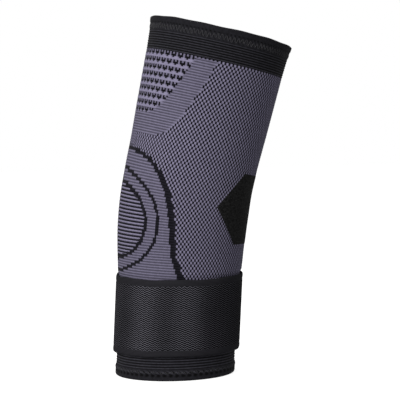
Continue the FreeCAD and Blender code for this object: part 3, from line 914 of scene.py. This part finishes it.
def strap_piece(name, start, end, nodes):
    """Stretch of the strap between two angles in degrees, woven, with rounded edges."""
    step = math.degrees(ZIGZAG / 6 / STRAP_ROUND)
    columns = max(8, round((end - start) / step)) + 1
    degrees = np.linspace(start, end, columns)[None, :]
    angle = np.radians(degrees)
    low, high = strap_heights(degrees)
    heights = strap_rows(low, high)
    from_edge = np.minimum(heights - low, high - heights)
    out, back = strap_sides(angle, strap_lift(degrees), heights, from_edge)
    behind = np.r_[len(heights) - 2:0:-4]         # the back has every fourth row
    radius = np.concatenate((out, back[behind]))
    from_edge = np.concatenate((from_edge, from_edge[behind]))
    heights = np.concatenate((heights, heights[behind]))
    points = on_tube(level(heights, angle, radius), angle, radius)
    border = smooth((BORDER_TO - from_edge) / EDGE_BLEND)
    rows = np.concatenate((heights, heights[:1])) - STRAP_LOW
    stitch = stitch_grid(angle[0] * STRAP_ROUND, rows)
    obj = grid_mesh(name, points, ring=False, caps=True, verts={"border": border}, stitch=stitch)
    obj.data.materials.append(materials["strap"])
    if nodes:
        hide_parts(*nodes)
    return obj


def strap_point(degrees):
    """Point in the middle of the tail's cloth, for a fold."""
    return metres(on_tube(TAIL_MIDDLE, math.radians(degrees), TAIL_INNER + TAIL_CLOTH / 2))


def strap():
    """The band, its fold and the free tail, cut where one motion ends and the next begins. Points
    7 degrees to each side of each fold are worked out but not used."""
    band = strap_piece("strap_band_weave", STRAP_START, ROOT_START, ["strap_band"])
    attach(band, "forearm_section")
    root = strap_piece("strap_fold_root", ROOT_START, TIP_START, ["strap_tail"])
    strap_point(FOLD - 7)
    strap_point(FOLD + 7)
    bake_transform(root)
    tip = strap_piece("strap_fold_tip", TIP_START, FLAP_START, [])
    strap_point(TAIL_FOLD - 7)
    strap_point(TAIL_FOLD + 7)
    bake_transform(tip)
    flap = strap_piece("strap_flap", FLAP_START, STRAP_END, ["strap_end"])
    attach(flap, "strap_end_section")


def strap_patch(name, node, body, material, span, inset, inner, cloth, outer_bumps=0.0,
                under_bumps=0.0):
    """Panel of tape on the strap over a span of degrees. A side with bumps is soft and uneven."""
    start, end = span
    columns = round((end - start) * 1.2) + 1
    degrees = np.linspace(start, end, columns)[None, :]
    angle = np.radians(degrees)
    low = STRAP_LOW + inset
    high = STRAP_HIGH - inset
    rows = np.linspace(low, high, 70)[:, None] + 0 * degrees
    tangle = np.sin(rows * 2.1 + degrees * 1.7) * np.sin(rows * 1.3 - degrees * 2.3)
    edge = np.minimum(rows - low, high - rows)
    edge = np.minimum(edge, np.minimum(degrees - start, end - degrees) * 0.8)
    soft = np.sqrt(np.clip(edge / 0.8, 0.05, 1))
    outer = inner + cloth + 0 * rows
    under = inner + 0 * rows
    if outer_bumps:
        outer = inner + cloth * soft + outer_bumps * tangle * soft
    if under_bumps:
        under = inner + cloth * (1 - soft) - under_bumps * tangle * soft
    radius = np.concatenate((outer, under[::-1]))
    heights = np.concatenate((rows, rows[::-1]))
    points = on_tube(level(heights, angle, radius), angle, radius)
    along = np.concatenate((heights, heights[:1]))
    stitch = stitch_grid(degrees[0] * math.radians(1) * inner, along)
    obj = grid_mesh(name, points, ring=False, caps=True, stitch=stitch)
    obj.data.materials.append(materials[material])
    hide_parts(node)
    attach(obj, body)


# ---- pad, pocket and label ----

PAD_AT = -8.0             # the pad's centre, along the axis
PAD_HALF = (33.0, 25.0)
POCKET_SEAM = 5.4         # the pocket reaches this far past the pad
POCKET_STITCHES = 64
PAD_GAP = 0.35            # between the knit and the pad
INSIDE_ROUND = 47.5       # radius at which lengths round the inside are counted

LABEL_LOW = 81.0
LABEL_HIGH = 107.0
LABEL_RADIUS = 47.7
LABEL_THICK = 0.35
LABEL_SWING = 1.6         # about how far its lower edge hangs inwards


def oval_place(half, share, turn):
    """Distance s and angle of points on ovals behind the elbow point."""
    across = half[0] * share * np.cos(turn)
    s = PAD_AT + half[1] * share * np.sin(turn)
    return s, np.pi + np.arcsin(np.clip(across / INSIDE_ROUND, -1, 1))


CLOTH_SCALE = 10.0        # a piece this small is simulated enlarged
CLOTH_FRAMES = 20
CLOTH_HELD = 4            # rows of the sheet that its seam holds


def cloth_shift(points, most):
    """How far a sheet moves as cloth under a light pressure, with its outer rows held, eased so
    that no point moves further than most. An enlarged copy is simulated, then deleted."""
    scene = bpy.context.scene
    rows, columns = points.shape[:2]
    sheet = grid_mesh("cloth_copy", points * CLOTH_SCALE, loop=False)
    start = np.array([vertex.co for vertex in sheet.data.vertices])
    held = sheet.vertex_groups.new(name="held")
    held.add(list(range((rows - CLOTH_HELD) * columns, rows * columns)), 1.0, "REPLACE")
    cloth = sheet.modifiers.new("Cloth", "CLOTH").settings
    cloth.quality = 6
    cloth.mass = 0.15
    cloth.tension_stiffness = 30.0
    cloth.compression_stiffness = 30.0
    cloth.bending_stiffness = 0.4
    cloth.vertex_group_mass = "held"
    cloth.use_pressure = True
    cloth.uniform_pressure_force = 4.0
    cloth.effector_weights.gravity = 0.0
    for step in range(1, CLOTH_FRAMES + 1):
        scene.frame_set(step)
    shaped = sheet.evaluated_get(bpy.context.evaluated_depsgraph_get())
    end = np.array([vertex.co for vertex in shaped.data.vertices])
    bpy.data.meshes.remove(sheet.data)
    scene.frame_set(1)
    shift = (end - start) / CLOTH_SCALE / MM
    size = np.linalg.norm(shift, axis=1, keepdims=True)
    return (shift / (1 + size / most)).reshape(points.shape)


def oval_shell(name, half, hole, outer, inner, rings=28, swell=0.0):
    """Closed shell over an oval behind the elbow point. outer and inner give how far in from the
    knit's outside each face lies, from the share of the way out to the rim. hole is the share that
    is open in the middle, or 0. swell is the most that a cloth simulation may move it."""
    share = np.linspace(max(hole, 0.02), 1, rings)[:, None]
    columns = 96
    turn = np.arange(columns)[None, :] * 2 * np.pi / columns

    def side(depth):
        s, angle = oval_place(half, share, turn)
        return on_tube(s, angle, knit_radius(s, angle) - depth(share) + 0 * turn)

    faces = [side(outer), side(inner)]
    if swell:
        shift = cloth_shift(faces[1], swell)
        faces = [face + shift for face in faces]
    points = np.concatenate((faces[0], faces[1][::-1]))
    return grid_mesh(name, points[::-1], loop=hole > 0, caps=hole == 0)


def gel_pad():
    """Crowned gel ring with a hole for the tip of the elbow."""
    def front(share):
        rim = 0.9 * smooth((share - 0.85) / 0.15)
        return KNIT_WALL + PAD_GAP + rim + 0.5 * smooth((0.4 - share) / 0.1)

    def back(share):
        crown = 4.4 * (1 - ((share - 0.6) / 0.45) ** 2 * 0.35)
        return KNIT_WALL + PAD_GAP + crown * (1 - 0.75 * smooth((share - 0.85) / 0.15))

    obj = oval_shell("elbow_gel_pad", PAD_HALF, 0.3, front, back)
    obj.data.materials.append(materials["gel"])
    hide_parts("gel_pad")
    blend_sleeve(obj)


def pad_pocket():
    """Lining stretched over the pad and sewn down round it."""
    half = (PAD_HALF[0] + POCKET_SEAM, PAD_HALF[1] + POCKET_SEAM)

    def swell(share):
        over = smooth((0.93 - share) / 0.16)
        return 4.4 * over * (1 - 0.04 * share) - 0.4 * smooth((0.22 - share) / 0.2)

    def front(share):
        return KNIT_WALL + 0.15 + np.maximum(swell(share) - 0.1, 0)

    def back(share):
        return KNIT_WALL + 0.75 + swell(share)

    obj = oval_shell("pad_pocket_lining", half, 0, front, back, rings=44, swell=1.2)
    obj.data.materials.append(materials["lining"])
    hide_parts("pad_pocket")
    blend_sleeve(obj)

    steps = POCKET_STITCHES * 10
    turn = np.arange(steps) * 2 * np.pi / steps
    s, angle = oval_place(half, 0.965, turn)
    dip = np.clip(1.6 * np.cos(turn * POCKET_STITCHES) + 0.4, -1, 1)
    radius = knit_radius(s, angle) - KNIT_WALL - 0.6 - 0.3 * dip
    seam = thread_loop("pocket_seam_thread", s, angle, radius)
    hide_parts("pocket_stitching")
    blend_sleeve(seam)


def care_label():
    """Blank label that hangs inside the upper arm."""
    angle = np.radians(np.linspace(79, 101, 21))[None, :]
    s = np.linspace(LABEL_LOW, LABEL_HIGH, 25)[:, None]
    hang = (LABEL_HIGH - s) / (LABEL_HIGH - LABEL_LOW)
    curl = 1 + 0.35 * np.cos((angle - math.pi / 2) * 12)
    radius = LABEL_RADIUS - LABEL_SWING * hang ** 2 * curl
    radius = np.concatenate((radius, radius[::-1] - LABEL_THICK))
    along = np.concatenate((s, s[::-1]))
    points = on_tube(along, angle, radius)
    rows = np.concatenate((along, along[:1]))[:, 0]
    stitch = stitch_grid(angle[0] * INSIDE_ROUND, rows)
    obj = grid_mesh("blank_care_label", points, ring=False, caps=True, stitch=stitch)
    obj.data.materials.append(materials["label"])
    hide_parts("care_label")
    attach(obj, "upper_arm_section")


# ---- studio ----

CAMERA_AT = Vector((0.02415, -1.080, 0.17047))
CAMERA_AIM = Vector((0.02127, 0.0, 0.12717))
CAMERA_ROLL = math.radians(-1.213)
CAMERA_LENS = 131.76
WHITE = (1, 1, 1, 1)
FLOOR_HALF = 8            # the studio is in metres
FLOOR_AT = -0.0002


def camera():
    """Camera in front, looking slightly down."""
    data = bpy.data.cameras.new("camera")
    data.lens = CAMERA_LENS
    data.sensor_width = 36.0
    data.clip_start = 0.01
    obj = new_object("camera", data)
    forward = (CAMERA_AIM - CAMERA_AT).normalized()
    right = forward.cross(Vector((0, 0, 1))).normalized()
    right = Quaternion(forward, -CAMERA_ROLL) @ right
    up = right.cross(forward)
    matrix = Matrix((right, up, -forward)).transposed().to_4x4()
    matrix.translation = CAMERA_AT
    obj.matrix_world = matrix
    bpy.context.scene.camera = obj


def area_light(name, place, aim, size, power, colour=(1, 1, 1)):
    """Square light that faces its aim."""
    data = bpy.data.lights.new(name, "AREA")
    data.energy = power
    data.size = size
    data.color = colour
    obj = new_object(name, data)
    obj.location = place
    obj.rotation_euler = (Vector(aim) - Vector(place)).to_track_quat("-Z", "Y").to_euler()


def background():
    """Soft pale light, which the camera sees as plain white."""
    world = bpy.data.worlds.new("studio")
    bpy.context.scene.world = world
    world.use_nodes = True
    nodes = world.node_tree.nodes
    links = world.node_tree.links
    soft = nodes["Background"]
    clear = nodes.new("ShaderNodeBackground")
    for node, strength in ((soft, 0.26), (clear, 1.0)):
        node.inputs["Color"].default_value = WHITE
        node.inputs["Strength"].default_value = strength
    seen = nodes.new("ShaderNodeLightPath")
    mix = nodes.new("ShaderNodeMixShader")
    links.new(seen.outputs["Is Camera Ray"], mix.inputs[0])
    links.new(soft.outputs[0], mix.inputs[1])
    links.new(clear.outputs[0], mix.inputs[2])
    links.new(mix.outputs[0], nodes["World Output"].inputs[0])


def pale_floor():
    """Plain pale floor just under the sleeve."""
    floor = bpy.data.meshes.new("floor")
    signs = ((-1, -1), (1, -1), (1, 1), (-1, 1))
    corners = [(x * FLOOR_HALF, y * FLOOR_HALF, FLOOR_AT) for x, y in signs]
    floor.from_pydata(corners, [], [(0, 1, 2, 3)])
    ground = new_object("floor", floor)
    pale = Shader("pale_floor", Roughness=0.9, Emission_Color=WHITE, Emission_Strength=0.85)
    pale.paint(pale.mix(pale.noise(6.0), (0.86, 0.86, 0.86, 1), (0.88, 0.88, 0.88, 1)))
    floor.materials.append(pale.material)
    ground.visible_diffuse = False
    ground.visible_glossy = False


def studio():
    """Background, floor and three soft lights."""
    background()
    pale_floor()
    area_light("key", (-0.62, -0.95, 0.55), (0, 0, 0.13), 0.5, 9.0, (1.0, 0.985, 0.97))
    area_light("fill", (0.9, -0.9, 0.35), (0, 0, 0.12), 0.7, 0.4, (0.96, 0.97, 1.0))
    area_light("top", (-0.1, 0.2, 1.1), (0, 0, 0.1), 0.6, 1.5)
    bpy.context.scene.view_settings.view_transform = "Standard"
    bpy.context.scene.view_settings.look = "None"


# ---- put it together ----

materials = {
    "cuff": cuff_material(),
    "strap": strap_material(),
    "tape": tape_material(),
    "thread": thread_material(),
    "silicone": silicone_material(),
    "gel": gel_material(),
    "lining": lining_material(),
    "pile": pile_material(),
    "hook": hook_material(),
    "label": label_material(),
}
KEPT_NODES = {
    "lower_grip_ring": "silicone",
    "upper_grip_ring": "silicone",
    "loop_panel_stitching": "thread",
    "hook_stitching": "thread",
    "strap_anchor_stitching": "thread",
    "end_binding": "tape",
}

camera()
studio()
sleeve_knit()
crease_knit()
upper_cuff()
lower_cuff()
strap()
strap_patch("loop_pile_panel", "loop_panel", "forearm_section", "pile",
            span=(94, 152), inset=2.0, inner=46.65, cloth=0.55, outer_bumps=0.15)
strap_patch("hook_tape_patch", "hook_patch", "strap_end_section", "hook",
            span=(104, 136.5), inset=4.5, inner=47.65, cloth=0.6, under_bumps=0.1)
gel_pad()
pad_pocket()
care_label()
for node, material in KEPT_NODES.items():
    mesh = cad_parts[node].data
    mesh.materials.clear()
    mesh.materials.append(materials[material])

bpy.context.view_layer.update()
